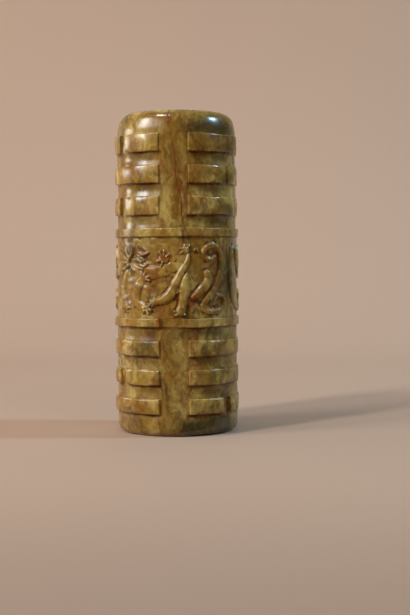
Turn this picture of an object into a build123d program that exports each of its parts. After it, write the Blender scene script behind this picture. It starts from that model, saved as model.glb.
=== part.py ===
"""Carved jade cong tube.

A tall stone tube, bored from end to end and a little wider at the foot.
Rows of raised bars stand on its upper and lower thirds, parted by four plain upright channels.
Some bars are cut in two by a short gap, so that three rows between two channels form a trigram.
Two plain bands frame the waist, where two dragons crawl round the tube in low relief.
Each carved element is its own solid and seats on the ground of the tube.

The frame has +Z up, the origin at the middle of the foot and the front channel at -Y.
"""

import math
import os

from build123d import *

# Tube, in millimetres
FOOT_RADIUS = 28.6
TOP_RADIUS = 27.9
BORE_RADIUS = 19.0
TOP_ROUNDING = 7.4
FOOT_ROUNDING = 3.8
MOUTH_ROUNDING = 1.0

# Heights of the zones, from the top down
TOP_COLLAR = 10.9
UPPER_BAR_HEIGHT = 8.5
UPPER_GROOVE = 5.9
FRIEZE_HEIGHT = 37.1
BAND_HEIGHT = 4.2
LOWER_GROOVE = 6.1
LOWER_BAR_HEIGHT = 7.3
FOOT_COLLAR = 10.2

# Raised bars and bands
BAR_PROUD = 1.5
BAR_EDGE = 0.45
BAND_PROUD = 1.1
BAND_EDGE = 0.35
CHANNEL_WIDTH = 13.4
GAP_WIDTH = 4.0
GAP_ANGLE = 53.5

# Counts and names
BAR_ROWS = 3
SECTORS = ("front_right", "rear_right", "rear_left", "front_left")
DRAGONS = ("front_dragon", "rear_dragon")

# Rows of bars that are cut in two, counted from the top of each third
BROKEN_ROWS = {
    "upper": {"front_right": (2,), "rear_right": (), "rear_left": (2, 3), "front_left": (1, 3)},
    "lower": {"front_right": (3,), "rear_right": (1,), "rear_left": (1, 2), "front_left": (2,)},
}

# A dragon is drawn on a flat panel that wraps its share of the waist.
# Places on it are millimetres right of the front channel and up from the lower band.
PANEL_LENGTH = 90.5
PANEL_LEFT_EDGE = -62.0
PANEL_HEIGHT = 37.0
BODY_RELIEF = 0.85
LIMB_RELIEF = 1.3
TOE_RELIEF = 1.15
CLOUD_RELIEF = 1.0
TOE_HALF_WIDTH = 0.7
PALM_STRETCH = 0.25

# Strokes of a dragon and of the clouds before it: places and half widths along the middle of each
BODY_STROKES = {
    "torso": [(-18.5, 22.5, 2.2), (-12.0, 20.8, 3.0), (-5.5, 21.6, 2.9), (0.0, 23.2, 2.3), (5.3, 23.6, 1.4)],
}
LIMB_STROKES = {
    "head": [(-20.5, 26.2, 2.0), (-17.6, 25.2, 3.3), (-14.6, 24.0, 2.6)],
    "thigh": [
        *[(4.6, 23.4, 1.3), (2.8, 20.1, 1.5), (0.6, 15.6, 1.8)],
        *[(-1.7, 10.9, 2.2), (-5.4, 8.2, 2.0), (-9.0, 7.3, 1.6)],
    ],
    "raised_arm": [(3.9, 22.6, 1.3), (5.4, 24.2, 1.3), (6.3, 26.4, 1.0), (6.7, 28.8, 0.7)],
    "hind_leg": [
        *[(5.8, 20.2, 0.6), (5.0, 16.6, 1.9), (4.8, 12.8, 2.4)],
        *[(4.3, 9.1, 2.1), (3.9, 6.0, 1.9), (3.0, 2.9, 2.0)],
    ],
    "haunch": [(9.0, 9.5, 1.5), (12.4, 12.2, 1.9), (15.3, 15.0, 2.1), (16.7, 18.0, 2.0), (15.8, 20.4, 1.6)],
    "tail": [
        *[(20.2, 28.2, 0.6), (17.6, 26.6, 0.9), (14.9, 27.6, 1.0), (14.1, 30.0, 1.1), (15.6, 32.3, 1.1)],
        *[(18.8, 33.2, 1.2), (22.1, 31.7, 1.3), (24.0, 28.4, 1.5), (24.5, 24.6, 1.6), (23.8, 20.5, 1.6)],
        *[(21.8, 16.4, 1.6), (18.7, 12.4, 1.5), (15.4, 8.6, 1.4), (13.7, 5.6, 1.3), (15.3, 3.3, 1.2)],
        *[(19.2, 2.7, 1.2), (23.4, 4.2, 1.2), (25.6, 7.1, 1.1), (24.2, 9.6, 1.0), (21.4, 9.9, 0.9)],
        (19.7, 8.2, 0.6),
    ],
    "foreleg": [
        *[(-15.4, 18.0, 1.8), (-18.4, 14.6, 2.4), (-19.4, 10.8, 2.4)],
        *[(-19.0, 7.2, 2.0), (-15.6, 5.2, 1.8)],
    ],
    "rear_foreleg": [(-26.2, 21.2, 1.4), (-28.6, 16.6, 2.3), (-29.0, 11.6, 2.5), (-27.4, 6.6, 1.9)],
}
TUFT_STROKES = {
    "horn": [(-18.4, 33.2, 0.5), (-17.2, 30.2, 0.9), (-15.2, 28.9, 0.9), (-12.5, 29.8, 0.5)],
    "brow": [(-22.6, 28.2, 0.7), (-21.6, 30.0, 0.8), (-21.8, 32.2, 0.4)],
    "high_lock": [(-23.4, 27.2, 1.0), (-25.0, 29.6, 0.9), (-26.4, 32.6, 0.5)],
    "left_lock": [(-24.4, 26.6, 1.0), (-28.2, 28.6, 0.9), (-31.8, 31.2, 0.5)],
    "level_lock": [(-24.6, 25.4, 1.0), (-28.6, 25.4, 0.9), (-32.8, 26.6, 0.5)],
    "low_lock": [(-24.0, 24.2, 1.0), (-27.2, 22.8, 0.9), (-30.8, 22.2, 0.5)],
}
CLOUD_STROKES = {
    "stem": [
        *[(-56.2, 33.4, 0.7), (-58.2, 28.6, 1.6), (-59.0, 21.6, 1.9), (-58.8, 14.4, 1.9), (-56.8, 8.6, 1.8)],
        *[(-53.0, 4.8, 1.6), (-48.0, 3.6, 1.4), (-43.8, 5.6, 1.4), (-42.4, 9.4, 1.2), (-44.6, 12.2, 1.0)],
        (-47.4, 11.2, 0.7),
    ],
    "pearl": [(-46.9, 21.8, 3.3), (-46.1, 21.8, 3.3)],
    "left_flame": [(-49.2, 23.6, 1.2), (-52.2, 26.8, 1.1), (-53.4, 31.6, 0.5)],
    "middle_flame": [(-46.8, 24.8, 1.2), (-48.0, 29.0, 1.0), (-46.6, 33.4, 0.5)],
    "right_flame": [(-44.0, 23.6, 1.2), (-41.6, 27.2, 1.0), (-42.0, 31.8, 0.5)],
    "wisp": [(-43.8, 20.4, 1.0), (-40.0, 18.4, 1.0), (-36.2, 19.4, 0.5)],
}

# Paws of a dragon: middle, palm radius and tips of the toes
PAWS = {
    "front_paw": ((-4.5, 27.0), 2.1, [(-7.6, 25.8), (-5.8, 23.9), (-6.7, 29.9), (-4.4, 30.4), (-2.2, 29.0)]),
    "raised_paw": ((5.2, 30.9), 1.6, [(3.2, 29.6), (3.0, 31.8), (4.8, 33.2), (7.0, 32.8)]),
    "bent_paw": ((-14.6, 18.4), 1.9, [(-16.4, 20.8), (-13.6, 20.6), (-12.0, 18.9), (-11.6, 17.0)]),
    "foot_paw": ((-13.6, 4.6), 1.8, [(-15.0, 2.2), (-12.4, 2.0), (-10.9, 3.6), (-11.2, 5.8)]),
    "rear_paw": ((-26.6, 5.4), 1.9, [(-29.2, 4.2), (-27.6, 2.4), (-25.0, 2.4), (-23.8, 4.4)]),
    "thigh_paw": ((-9.4, 7.3), 1.7, [(-11.8, 8.6), (-11.9, 10.6), (-9.8, 9.9), (-7.4, 10.6)]),
    "leg_paw": ((2.6, 2.7), 1.6, [(0.2, 3.0), (0.9, 1.3), (4.9, 1.4)]),
}

# Values that follow from the sizes above
LOWER_ROWS_TOP = FOOT_COLLAR + BAR_ROWS * (LOWER_BAR_HEIGHT + LOWER_GROOVE)
FRIEZE_FLOOR = LOWER_ROWS_TOP + BAND_HEIGHT
FRIEZE_CEILING = FRIEZE_FLOOR + FRIEZE_HEIGHT
UPPER_ROWS_FOOT = FRIEZE_CEILING + BAND_HEIGHT
HEIGHT = UPPER_ROWS_FOOT + BAR_ROWS * (UPPER_GROOVE + UPPER_BAR_HEIGHT) + TOP_COLLAR
SECTOR_ANGLE = 360.0 / len(SECTORS)
FRONT_ANGLE = -90.0
DRAGON_ANGLE = 360.0 / len(DRAGONS)
BEYOND_SURFACE = FOOT_RADIUS + TOP_RADIUS
RIM_SHARE = 0.84
MOUTH_SHARE = 0.12
EDGE_SHARE = 0.45


def ground(z):
    """Radius of the sunken ground at height z."""
    return FOOT_RADIUS + (TOP_RADIUS - FOOT_RADIUS) * z / HEIGHT


def limited(rounding, share, wall):
    """A rounding that takes no more than its share of a wall."""
    return min(rounding, share * wall)


def ring_profile(low, high, proud):
    """Upright face between the ground and a surface that stands proud of it."""
    corners = [
        (ground(low), low),
        (ground(low) + proud, low),
        (ground(high) + proud, high),
        (ground(high), high),
    ]
    return make_face(Plane.XZ * Polyline(*corners, close=True))


def corner(face, radius, z):
    """The vertex of an upright face nearest to a radius and height."""
    return face.vertices().sort_by_distance((radius, 0, z))[0]


def tube_wall():
    """The bored tube, rounded at both rims and at both mouths of the bore."""
    corners = [(BORE_RADIUS, 0), (FOOT_RADIUS, 0), (TOP_RADIUS, HEIGHT), (BORE_RADIUS, HEIGHT)]
    wall = min(FOOT_RADIUS, TOP_RADIUS) - BORE_RADIUS
    mouth = limited(MOUTH_ROUNDING, MOUTH_SHARE, wall)
    foot = limited(FOOT_ROUNDING, RIM_SHARE, wall)
    top = limited(TOP_ROUNDING, RIM_SHARE, wall)
    face = make_face(Plane.XZ * Polyline(*corners, close=True))
    for (radius, z), rounding in zip(corners, [mouth, foot, top, mouth]):
        face = fillet(corner(face, radius, z), rounding)
    return revolve(face, Axis.Z)


def plain_band(low):
    """A raised ring round the whole tube, with softened outer edges."""
    high = low + BAND_HEIGHT
    edge = limited(BAND_EDGE, EDGE_SHARE, min(BAND_PROUD, BAND_HEIGHT))
    face = ring_profile(low, high, BAND_PROUD)
    for z in (low, high):
        face = fillet(corner(face, ground(z) + BAND_PROUD, z), edge)
    return revolve(face, Axis.Z)


def raised_bar(low, height, start, end):
    """A raised bar between two angles, counted from the front channel to the right."""
    bar = revolve(ring_profile(low, low + height, BAR_PROUD), Axis.Z, end - start)
    outer_face = max(bar.faces(), key=lambda face: math.hypot(face.center().X, face.center().Y))
    edge = limited(BAR_EDGE, EDGE_SHARE, min(BAR_PROUD, height))
    bar = fillet(outer_face.edges(), edge)
    return Rot(0, 0, FRONT_ANGLE + start) * bar


def bar_spans(low, height, broken, side_channel_first):
    """Name endings and end angles of the pieces of a bar, from the first channel of its sector.

    A gap lies nearer to the left or right channel than to the front or rear one.
    It leaves a long piece at the front or rear channel and a short piece at the side.
    """
    outer = ground(low + height / 2) + BAR_PROUD
    half_channel = math.degrees(math.asin(CHANNEL_WIDTH / 2 / outer))
    first, last = half_channel, SECTOR_ANGLE - half_channel
    if not broken:
        return [("", first, last)]
    half_gap = math.degrees(math.asin(GAP_WIDTH / 2 / outer))
    if side_channel_first:
        middle = SECTOR_ANGLE - GAP_ANGLE
        endings = ("_short", "_long")
    else:
        middle = GAP_ANGLE
        endings = ("_long", "_short")
    return [(endings[0], first, middle - half_gap), (endings[1], middle + half_gap, last)]


def bar_rows():
    """Third, number, lower edge and height of every row of bars, from the top of the tube down."""
    for row in range(BAR_ROWS):
        top = HEIGHT - TOP_COLLAR - row * (UPPER_BAR_HEIGHT + UPPER_GROOVE)
        yield "upper", row + 1, top - UPPER_BAR_HEIGHT, UPPER_BAR_HEIGHT
    for row in range(BAR_ROWS):
        top = LOWER_ROWS_TOP - LOWER_GROOVE - row * (LOWER_BAR_HEIGHT + LOWER_GROOVE)
        yield "lower", row + 1, top - LOWER_BAR_HEIGHT, LOWER_BAR_HEIGHT


def sector_bars(place, sector):
    """Every bar of one sector, by name."""
    side_channel_first = place % 2 == 1
    bars = {}
    for third, row, low, height in bar_rows():
        broken = row in BROKEN_ROWS[third][sector]
        for ending, start, end in bar_spans(low, height, broken, side_channel_first):
            bar = raised_bar(low, height, start, end)
            bars[f"{third}_bar_{row}_{sector}{ending}"] = Rot(0, 0, SECTOR_ANGLE * place) * bar
    return bars


def panel_angle(right):
    """Angle round the tube, from the front channel, of a place on the flat panel."""
    return DRAGON_ANGLE * right / PANEL_LENGTH


def panel_height(up):
    """Height on the tube of a place on the flat panel."""
    return FRIEZE_FLOOR + FRIEZE_HEIGHT * up / PANEL_HEIGHT


def relief_shell(relief):
    """The space on the waist that one dragon's relief may fill."""
    shell = revolve(ring_profile(FRIEZE_FLOOR, FRIEZE_CEILING, relief), Axis.Z, DRAGON_ANGLE)
    return Rot(0, 0, FRONT_ANGLE + panel_angle(PANEL_LEFT_EDGE)) * shell


def stroke_outline(points):
    """Both sides and both tips of a tapering stroke, on the flat panel."""
    centre = [Vector(right, up) for right, up, _ in points]
    last = len(centre) - 1
    tangents = [
        (centre[min(place + 1, last)] - centre[max(place - 1, 0)]).normalized()
        for place in range(len(centre))
    ]
    left, right = [], []
    for place, along, (_, _, half_width) in zip(centre, tangents, points):
        across = Vector(-along.Y, along.X) * half_width
        left.append(place + across)
        right.append(place - across)
    first_tip = centre[0] - tangents[0] * points[0][2]
    last_tip = centre[-1] + tangents[-1] * points[-1][2]
    return left, right, first_tip, last_tip


def relief_stroke(points, relief):
    """A raised stroke on the waist of the tube."""
    middle = panel_angle(sum(right for right, _, _ in points) / len(points))
    surface = ground((FRIEZE_FLOOR + FRIEZE_CEILING) / 2) + relief

    def on_tangent_plane(place):
        turn = math.radians(panel_angle(place.X) - middle)
        return surface * math.sin(turn), panel_height(place.Y)

    left, right, first_tip, last_tip = stroke_outline(points)
    left = [on_tangent_plane(place) for place in left]
    right = [on_tangent_plane(place) for place in right]
    side = Line if len(points) == 2 else Spline
    edges = [
        side(*left),
        ThreePointArc(left[-1], on_tangent_plane(last_tip), right[-1]),
        side(*reversed(right)),
        ThreePointArc(right[0], on_tangent_plane(first_tip), left[0]),
    ]
    facing = math.radians(middle)
    tangent_plane = Plane(
        origin=(0, 0, 0),
        x_dir=(math.cos(facing), math.sin(facing), 0),
        z_dir=(math.sin(facing), -math.cos(facing), 0),
    )
    prism = extrude(tangent_plane * make_face(edges), BEYOND_SURFACE, dir=tangent_plane.z_dir)
    return prism & relief_shell(relief)


def paw_strokes(middle, palm, toes):
    """A palm and its toes, each as a short stroke."""
    right, up = middle
    reach = PALM_STRETCH * palm
    yield [(right - reach, up, palm), (right + reach, up, palm)]
    for toe_right, toe_up in toes:
        knuckle = ((right + toe_right) / 2, (up + toe_up) / 2, TOE_HALF_WIDTH)
        yield [knuckle, (toe_right, toe_up, TOE_HALF_WIDTH)]


def dragon():
    """The front dragon with its clouds, as raised strokes grown into each other."""
    groups = [
        (BODY_RELIEF, BODY_STROKES),
        (LIMB_RELIEF, LIMB_STROKES),
        (TOE_RELIEF, TUFT_STROKES),
        (CLOUD_RELIEF, CLOUD_STROKES),
    ]
    pieces = [relief_stroke(points, relief) for relief, strokes in groups for points in strokes.values()]
    for middle, palm, toes in PAWS.values():
        pieces += [relief_stroke(points, TOE_RELIEF) for points in paw_strokes(middle, palm, toes)]
    return pieces[0].fuse(*pieces[1:])


def main():
    """Builds every element and writes one file for each."""
    os.makedirs("parts", exist_ok=True)
    nodes = {
        "tube_wall": tube_wall(),
        "upper_band": plain_band(FRIEZE_CEILING),
        "lower_band": plain_band(LOWER_ROWS_TOP),
    }
    for place, sector in enumerate(SECTORS):
        nodes.update(sector_bars(place, sector))
    relief = dragon()
    for place, name in enumerate(DRAGONS):
        nodes[name] = Rot(0, 0, DRAGON_ANGLE * place) * relief
    for name, shape in nodes.items():
        export_step(shape, os.path.join("parts", f"{name}.step"))
    print("height", round(HEIGHT, 3), "frieze from", round(FRIEZE_FLOOR, 3), "to", round(FRIEZE_CEILING, 3))


main()
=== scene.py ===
"""The looks of a carved jade cong tube, built round its solids.

The object is one polished stone. A bored tube carries rows of raised bars, two plain bands and two dragons
in low relief. Each of these is a surface worked out on a grid, in metres, in the frame of the solids: +Z is
up, the front channel faces -Y, and a turn round the tube starts there and grows towards +X.
"""

import logging
import math
from dataclasses import dataclass
from enum import Enum

import bpy
import numpy as np
from mathutils import Euler, Matrix, Vector


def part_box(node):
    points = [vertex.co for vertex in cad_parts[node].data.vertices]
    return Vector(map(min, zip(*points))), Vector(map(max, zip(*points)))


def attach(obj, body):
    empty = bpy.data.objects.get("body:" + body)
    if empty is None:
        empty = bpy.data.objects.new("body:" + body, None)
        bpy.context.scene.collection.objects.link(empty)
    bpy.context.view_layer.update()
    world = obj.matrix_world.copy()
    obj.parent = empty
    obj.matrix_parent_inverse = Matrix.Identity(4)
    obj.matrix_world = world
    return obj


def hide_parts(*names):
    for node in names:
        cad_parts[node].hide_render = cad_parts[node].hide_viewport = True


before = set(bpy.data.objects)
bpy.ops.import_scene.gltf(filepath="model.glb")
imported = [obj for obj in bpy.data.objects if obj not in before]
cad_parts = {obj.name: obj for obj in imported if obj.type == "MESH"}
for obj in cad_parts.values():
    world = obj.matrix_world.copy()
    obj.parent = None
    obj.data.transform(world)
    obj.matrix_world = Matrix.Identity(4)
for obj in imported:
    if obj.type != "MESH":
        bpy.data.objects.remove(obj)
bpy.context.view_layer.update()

MM = 0.001
BODY = "root"
BANDS = ("upper_band", "lower_band")
LOG = logging.getLogger("cong_tube")

Array = np.ndarray
Socket = bpy.types.NodeSocket
Colour = tuple[float, float, float]
Stroke = list[tuple[float, float, float]]
Sources = dict[str | int, object]


class Slot(Enum):
    """The record's material slots."""

    POLISHED = "polished_jade"
    CARVED = "carved_jade"


class Sector(Enum):
    """The four sectors of bars, by the turn of their middle in degrees."""

    FRONT_RIGHT = 45.0
    REAR_RIGHT = 135.0
    REAR_LEFT = 225.0
    FRONT_LEFT = 315.0

    @property
    def suffix(self) -> str:
        """The ending of this sector's node names."""
        return self.name.lower()

    @property
    def middle(self) -> float:
        """The turn of its middle, in radians."""
        return math.radians(self.value)

    @property
    def ends_at_side(self) -> bool:
        """Whether its turns end, and don't start, at the left or right channel."""
        return self in (Sector.FRONT_RIGHT, Sector.REAR_LEFT)


def linear(red: int, green: int, blue: int) -> Colour:
    """A display colour of 0 to 255 as a linear one, by the display's power curve with its straight foot."""
    shares = [value / 255 for value in (red, green, blue)]
    return tuple(s / 12.92 if s <= 0.04045 else ((s + 0.055) / 1.055) ** 2.4 for s in shares)


def smooth_step(value: Array, low: float, high: float) -> Array:
    """0 below low, 1 above high and the cubic 3t^2 - 2t^3 of the share t between them."""
    share = np.clip((value - low) / (high - low), 0.0, 1.0)
    return share * share * (3.0 - 2.0 * share)


def bell(value: Array, width: float, power: int = 2) -> Array:
    """A bell curve, exp(-(value / width)^power), which is 1 at 0."""
    return np.exp(-((value / width) ** power))


def nearest_turn(turn: Array, middle: float) -> Array:
    """Turns counted from a middle, within half a revolution of it, so from -pi to pi."""
    return (turn - middle + np.pi) % (2 * np.pi) - np.pi


def heights(node: str) -> tuple[float, float]:
    """The lowest and the highest z of a node's solid."""
    low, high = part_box(node)
    return low.z, high.z


def soften(field: Array, sigma: float) -> Array:
    """A field blurred by a Gaussian, worked out as a product of its spectrum.

    Args:
        field: values on a grid.
        sigma: the Gaussian's width, in cells.

    Returns:
        The blurred field, with its borders carried on outside the grid.
    """
    margin = int(math.ceil(4 * sigma))
    padded = np.pad(field, margin, mode="edge")
    across, along = np.fft.fftfreq(padded.shape[0]), np.fft.rfftfreq(padded.shape[1])
    window = np.exp(-2 * (np.pi * sigma) ** 2 * (across[:, None] ** 2 + along[None, :] ** 2))
    blurred = np.fft.irfft2(np.fft.rfft2(padded) * window, s=padded.shape)
    return blurred[margin:-margin, margin:-margin]


@dataclass(frozen=True)
class HandCut:
    """The slow unevenness of a surface ground by hand."""

    seed: int
    wavelength: float
    depth: float
    waves: int = 14
    shortest: float = 0.7
    longest: float = 1.6
    radius: float = 28.5 * MM

    def over(self, turn: Array, z: Array) -> Array:
        """A sum of cosine waves with seeded directions, whole round the tube.

        Each wave is between the shortest and the longest share of the wavelength, measured at the radius.

        Args:
            turn, z: places on the tube.

        Returns:
            The offset at each place, of about plus or minus depth.
        """
        draw = np.random.default_rng(self.seed)
        heading = draw.uniform(0, 2 * np.pi, self.waves)
        number = 2 * np.pi / (self.wavelength * draw.uniform(self.shortest, self.longest, self.waves))
        round_tube = np.rint(number * np.cos(heading) * self.radius)
        up_tube = number * np.sin(heading)
        phase = draw.uniform(0, 2 * np.pi, self.waves)
        total = np.zeros(np.broadcast(turn, z).shape)
        for k_turn, k_z, start in zip(round_tube, up_tube, phase):
            total += np.cos(k_turn * turn + k_z * z + start)
        return self.depth * total / math.sqrt(self.waves / 2)


@dataclass(frozen=True)
class TubeForm:
    """Sizes that all the carved pieces share."""

    height: float
    foot_radius: float = 28.6 * MM
    top_radius: float = 27.9 * MM
    bore_radius: float = 19.0 * MM
    channel_width: float = 13.4 * MM
    gap_width: float = 4.0 * MM
    gap_turn: float = math.radians(53.5)
    left_gap_shift: float = math.radians(2.5)
    bar_proud: float = 1.5 * MM
    band_proud: float = 1.1 * MM
    sunk: float = 0.7 * MM
    groove_depth: float = 0.35 * MM

    def ground(self, z: Array) -> Array:
        """Radius of the plain ground at height z, a straight taper."""
        return self.foot_radius + (self.top_radius - self.foot_radius) * z / self.height

    def place(self, turn: Array, z: Array, proud: Array) -> Array:
        """Points that stand proud of the ground.

        Args:
            turn, z: places on the tube.
            proud: how far each stands out of the ground.

        Returns:
            The points, with x, y and z on the last axis.
        """
        turn, z, proud = np.broadcast_arrays(turn, z, proud)
        radius = self.ground(z) + proud
        return np.stack((radius * np.sin(turn), -radius * np.cos(turn), z), axis=-1)

    def half_bar(self) -> float:
        """Half the turn that a bar spans between two channels."""
        outer = self.ground(self.height / 2) + self.bar_proud
        return math.pi / 4 - math.asin(self.channel_width / 2 / outer)


BROKEN_ROWS: dict[str, dict[Sector, tuple[int, ...]]] = {
    "upper": {
        Sector.FRONT_RIGHT: (2,),
        Sector.REAR_RIGHT: (),
        Sector.REAR_LEFT: (2, 3),
        Sector.FRONT_LEFT: (1, 3),
    },
    "lower": {
        Sector.FRONT_RIGHT: (3,),
        Sector.REAR_RIGHT: (1,),
        Sector.REAR_LEFT: (1, 2),
        Sector.FRONT_LEFT: (2,),
    },
}


@dataclass(frozen=True)
class Bar:
    """A whole bar, or one part of a broken bar: its node, its heights and the turns of its ends."""

    node: str
    low: float
    high: float
    first: float
    last: float

    @property
    def middle(self) -> float:
        """The turn of its middle."""
        return (self.first + self.last) / 2

    @property
    def half_turn(self) -> float:
        """Half the turn that it spans."""
        return (self.last - self.first) / 2

    def outline(self, turn: Array, z: Array, radius: Array) -> Array:
        """Distance from places on the ground to the bar's outline, a rectangle.

        Args:
            turn, z: the places.
            radius: the radius of the ground there.

        Returns:
            The distance, below 0 under the bar.
        """
        side = (np.abs(nearest_turn(turn, self.middle)) - self.half_turn) * radius
        rise = np.maximum(z - self.high, self.low - z)
        corner = np.hypot(np.maximum(side, 0.0), np.maximum(rise, 0.0))
        return corner + np.minimum(np.maximum(side, rise), 0.0)


def sector_spans(form: TubeForm, sector: Sector, broken: bool) -> list[tuple[str, float, float]]:
    """Name endings and end turns of a sector's bar, in one part or in two.

    Args:
        form: the shared sizes.
        sector: where the bar stands.
        broken: whether a gap cuts it in two.

    Returns:
        The ending and both turns of each part.
    """
    first, last = sector.middle - form.half_bar(), sector.middle + form.half_bar()
    if not broken:
        return [("", first, last)]
    half_gap = form.gap_width / 2 / (form.ground(form.height / 2) + form.bar_proud)
    aside = form.gap_turn - math.pi / 4 + (form.left_gap_shift if sector is Sector.FRONT_LEFT else 0.0)
    gap = sector.middle + (aside if sector.ends_at_side else -aside)
    endings = ("_long", "_short") if sector.ends_at_side else ("_short", "_long")
    return [(endings[0], first, gap - half_gap), (endings[1], gap + half_gap, last)]


def all_bars(form: TubeForm) -> list[Bar]:
    """Every bar and part of a bar, with its heights from the frame.

    Args:
        form: the shared sizes.

    Returns:
        The bars, row by row from the top of each end.
    """
    bars = []
    for third, broken in BROKEN_ROWS.items():
        for row in (1, 2, 3):
            for sector in Sector:
                for ending, first, last in sector_spans(form, sector, row in broken[sector]):
                    node = f"{third}_bar_{row}_{sector.suffix}{ending}"
                    bars.append(Bar(node, *heights(node), first, last))
    return bars


@dataclass(frozen=True)
class Flaws:
    """The crack down the front, the russet stains, and the dark clouds of the stone with painted shade, by
    place.
    """

    form: TubeForm
    crack_width: float = 0.15 * MM
    halo_width: float = 0.5 * MM
    halo_strength: float = 0.8
    least_share: float = 0.05
    full_share: float = 0.35
    slow_jags: HandCut = HandCut(31, 9 * MM, 0.22 * MM)
    quick_jags: HandCut = HandCut(32, 3.2 * MM, 0.13 * MM)
    swelling: HandCut = HandCut(33, 4 * MM, 0.32)

    def crack_route(self) -> Array:
        """The crack's bends: millimetres right of the front, height in millimetres and share of its width."""
        return np.array([
            [-2.6, 151.0, 0.9], [-2.4, 148.0, 1.0], [-2.2, 142.9, 0.9], [-0.7, 139.3, 0.8],
            [-0.2, 133.8, 0.7], [0.9, 128.8, 1.0], [1.1, 123.8, 1.0], [1.0, 119.0, 1.2],
            [1.6, 116.2, 1.7], [2.4, 112.8, 1.2], [3.2, 109.2, 0.9], [3.7, 105.3, 1.1],
            [4.0, 101.2, 0.9], [4.4, 96.1, 0.9], [4.7, 91.0, 0.8], [4.2, 88.0, 0.7], [5.3, 84.6, 0.4],
        ])

    def crack(self, turn: Array, z: Array) -> tuple[Array, Array]:
        """The crack's dark line and the rust that has crept out of it.

        Both are Gaussians of the side distance to a line that is straight between the crack's bends, but for
        small waves.

        Args:
            turn, z: places on the tube.

        Returns:
            The line and the rust, each from 0 to 1.
        """
        route = self.crack_route()[::-1]
        front = np.zeros_like(z)
        jags = self.slow_jags.over(front, z) + self.quick_jags.over(front, z)
        middle = np.interp(z / MM, route[:, 1], route[:, 0]) * MM + jags
        share = np.interp(z / MM, route[:, 1], route[:, 2], left=0.0)
        share = share * (1 + self.swelling.over(front, z))
        side = nearest_turn(turn, 0.0) * self.form.ground(z) - middle
        width = np.maximum(share, self.least_share)
        there = smooth_step(share, 0.0, self.full_share)
        line = bell(side, self.crack_width * width) * there
        return line, self.halo_strength * bell(side, self.halo_width * width) * there

    def stain_places(self) -> Array:
        """Russet stains: turn in degrees, height, half breadth and half height in mm, and strength."""
        return np.array([
            [56.0, 14.0, 1.5, 4.6, 0.6], [3.0, 116.0, 1.6, 3.4, 0.7], [-13.5, 55.5, 1.6, 6.0, 0.55],
            [20.0, 45.0, 3.0, 3.4, 0.6], [-24.0, 47.0, 3.4, 2.6, 0.5], [14.0, 60.0, 2.2, 5.5, 0.7],
            [-8.0, 82.5, 2.6, 2.4, 0.85], [4.0, 88.5, 2.6, 2.0, 0.5], [-35.0, 97.0, 5.0, 1.0, 0.4],
            [-30.0, 84.0, 1.6, 1.6, 0.8], [7.0, 85.5, 1.6, 1.6, 0.7], [20.0, 85.0, 1.2, 1.2, 0.6],
            [-24.0, 67.5, 2.0, 2.0, 0.9], [30.0, 83.5, 2.2, 2.2, 0.6], [34.5, 60.8, 1.8, 1.8, 0.9],
            [-26.0, 73.5, 2.4, 2.0, 0.6], [18.0, 63.0, 2.0, 3.0, 0.8], [-16.0, 60.5, 2.2, 1.6, 0.6],
            [24.0, 33.4, 4.0, 1.6, 0.5], [-33.0, 21.0, 5.0, 2.0, 0.35], [150.0, 70.0, 6.0, 9.0, 0.5],
            [205.0, 118.0, 4.0, 12.0, 0.5], [262.0, 38.0, 7.0, 4.0, 0.5], [120.0, 126.0, 5.0, 3.0, 0.5],
        ])

    def cloud_places(self) -> Array:
        """Dark green clouds in the stone and painted shade, in the columns of the stains."""
        # Most front spots are painted shade: those on the right side, in the grooves under the bars and on
        # the foot. The rest are dark clouds in the stone.
        return np.array([
            [38.0, 142.5, 12.0, 4.2, 0.75], [20.0, 141.0, 5.0, 3.0, 0.5], [62.0, 141.0, 9.0, 4.5, 0.6],
            [34.0, 3.5, 15.0, 6.5, 1.0], [60.0, 4.0, 10.0, 6.5, 1.0], [14.0, 4.0, 6.0, 4.5, 0.55],
            [46.0, 128.4, 9.0, 2.0, 0.8], [42.0, 113.8, 10.0, 2.0, 0.8], [44.0, 99.4, 10.0, 2.2, 0.8],
            [34.0, 47.6, 12.0, 2.2, 0.8], [40.0, 34.6, 12.0, 2.0, 0.7], [38.0, 21.0, 10.0, 2.0, 0.7],
            [57.0, 74.0, 9.0, 16.0, 1.0], [-46.0, 8.0, 9.0, 5.0, 0.4], [-30.0, 88.0, 8.0, 4.0, 0.3],
            [0.0, 22.0, 6.0, 16.0, 0.3], [2.0, 47.0, 6.0, 8.0, 0.3], [0.0, 118.0, 6.0, 22.0, 0.2],
            [-30.0, 128.4, 8.0, 2.2, 0.6], [-28.0, 113.8, 8.0, 2.2, 0.6], [-32.0, 99.4, 9.0, 2.2, 0.55],
            [56.0, 133.0, 6.0, 3.2, 0.8], [57.0, 118.6, 6.0, 3.2, 0.7], [58.0, 104.4, 6.0, 3.2, 0.7],
            [-30.0, 47.6, 9.0, 2.0, 0.4], [-28.0, 34.6, 9.0, 2.0, 0.4], [-30.0, 21.0, 9.0, 2.0, 0.4],
            [170.0, 144.0, 14.0, 5.0, 0.8], [235.0, 20.0, 12.0, 16.0, 0.5], [150.0, 6.0, 14.0, 6.0, 0.7],
            [120.0, 88.0, 12.0, 16.0, 0.5], [210.0, 100.0, 14.0, 10.0, 0.5], [290.0, 142.0, 7.0, 4.0, 0.4],
        ])

    def cloud(self, turn: Array, z: Array) -> Array:
        """The dark clouds and the painted shade, from 0 to 1."""
        return self.spots(self.cloud_places(), turn, z)

    def stain(self, turn: Array, z: Array) -> Array:
        """The russet stains, from 0 to 1."""
        return self.spots(self.stain_places(), turn, z)

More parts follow.
